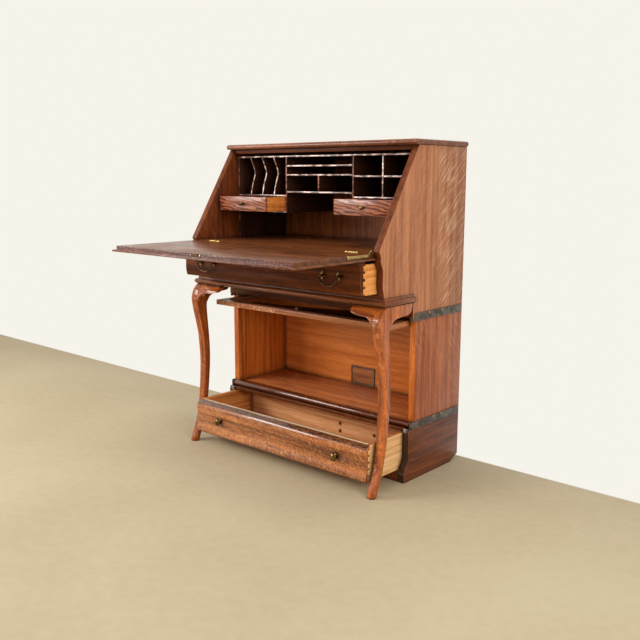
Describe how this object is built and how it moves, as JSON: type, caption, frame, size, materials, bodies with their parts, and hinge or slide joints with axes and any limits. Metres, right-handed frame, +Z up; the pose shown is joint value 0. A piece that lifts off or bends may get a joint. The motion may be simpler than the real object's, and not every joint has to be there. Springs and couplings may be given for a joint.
{
  "type": "drop-front secretary desk on a sectional bookcase",
  "caption": "Oak desk with a hinged fall front, pigeonholes and a drawer, on a bookcase section with a receding glass door, a drawer base and cabriole front legs.",
  "frame": {"origin": "on the floor, under the middle of the width and of the depth with the fall open", "axes": "+Z up, -Y toward the user, +X to the user's right"},
  "size_m": [0.892, 0.832, 1.109],
  "materials": {
    "oak_side": "satin varnish, straight quartersawn grain",
    "oak_front": "satin varnish, flecked quartersawn oak",
    "oak_dark": "satin, dark stained oak",
    "oak_warm": "satin varnish, warm orange-brown oak",
    "rosewood_front": "polished, flame figured veneer",
    "pine": "bare pine with knots",
    "old_brass": "aged brass",
    "strap_steel": "dark bronze enamel",
    "door_pane": "clear old glass"
  },
  "bodies": {
    "case": {"desk_side_left": "oak_side", "desk_side_right": "oak_side", "desk_top": "oak_front", "top_rail": "oak_front", "desk_back": "oak_dark", "writing_floor": "oak_dark", "drawer_bed": "oak_dark", "desk_moulding": "oak_front", "lower_front_rail": "oak_dark", "lower_board": "oak_dark", "leg_left": "oak_warm", "leg_right": "oak_warm", "front_brackets": "oak_warm", "nest_top": "oak_front", "nest_ends": "oak_front", "nest_partitions": "oak_front", "nest_side_shelves": "oak_front", "nest_centre_shelves": "oak_front", "nest_centre_divider": "oak_front", "nest_shaped_dividers": "oak_front", "nest_right_cells": "oak_front", "bookcase_side_left": "oak_side", "bookcase_side_right": "oak_side", "bookcase_back": "oak_warm", "bookcase_floor": "oak_front", "bookcase_nosing": "oak_front", "door_guides": "oak_warm", "base_end_left": "oak_side", "base_end_right": "oak_side", "base_back": "oak_dark", "base_rails": "oak_front", "base_runners": "pine", "side_straps": "strap_steel", "floor_hinge_leaves": "old_brass"},
    "fall": {"fall_panel": "oak_dark", "fall_hinge_leaves": "old_brass", "lock_plate": "old_brass", "lid_stay": "old_brass"},
    "desk_drawer": {"desk_drawer_front": "oak_front", "desk_drawer_sides": "oak_warm", "desk_drawer_back": "oak_warm", "desk_drawer_bottom": "pine", "desk_pull_posts": "old_brass"},
    "bail_left": {"desk_bail_left": "old_brass"},
    "bail_right": {"desk_bail_right": "old_brass"},
    "base_drawer": {"base_drawer_front": "oak_front", "base_drawer_sides": "pine", "base_drawer_ends": "pine", "base_drawer_bottom": "pine", "base_drawer_knobs": "old_brass"},
    "small_drawer_left": {"small_front_left": "rosewood_front", "small_box_left": "oak_warm", "small_knob_left": "old_brass"},
    "small_drawer_right": {"small_front_right": "rosewood_front", "small_box_right": "oak_warm", "small_knob_right": "old_brass"},
    "door": {"door_stiles": "oak_front", "door_rails": "oak_front", "door_glass": "door_pane", "door_knob": "oak_dark"}
  },
  "joints": [
    {"name": "fall_hinge", "type": "hinge", "parent": "case", "child": "fall", "pos_m": [0, -0.049, 0.764], "axis": [1, 0, 0], "range_deg": [-121.7, 0]},
    {"name": "desk_drawer_slide", "type": "slide", "parent": "case", "child": "desk_drawer", "axis": [0, -1, 0], "range_m": [-0.074, 0.25]},
    {"name": "bail_left_hinge", "type": "hinge", "parent": "desk_drawer", "child": "bail_left", "pos_m": [-0.287, -0.12577, 0.6935], "axis": [-1, 0, 0], "range_deg": [-10, 85]},
    {"name": "bail_right_hinge", "type": "hinge", "parent": "desk_drawer", "child": "bail_right", "pos_m": [0.287, -0.12577, 0.6935], "axis": [-1, 0, 0], "range_deg": [-10, 85]},
    {"name": "base_drawer_slide", "type": "slide", "parent": "case", "child": "base_drawer", "axis": [0, -1, 0], "range_m": [-0.19, 0.06]},
    {"name": "small_drawer_left_slide", "type": "slide", "parent": "case", "child": "small_drawer_left", "axis": [0, -1, 0], "range_m": [-0.103, 0.09]},
    {"name": "small_drawer_right_slide", "type": "slide", "parent": "case", "child": "small_drawer_right", "axis": [0, -1, 0], "range_m": [-0.103, 0.09]},
    {"name": "door_slide", "type": "slide", "parent": "case", "child": "door", "axis": [0, -1, 0], "range_m": [0, 0.19]}
  ]
}
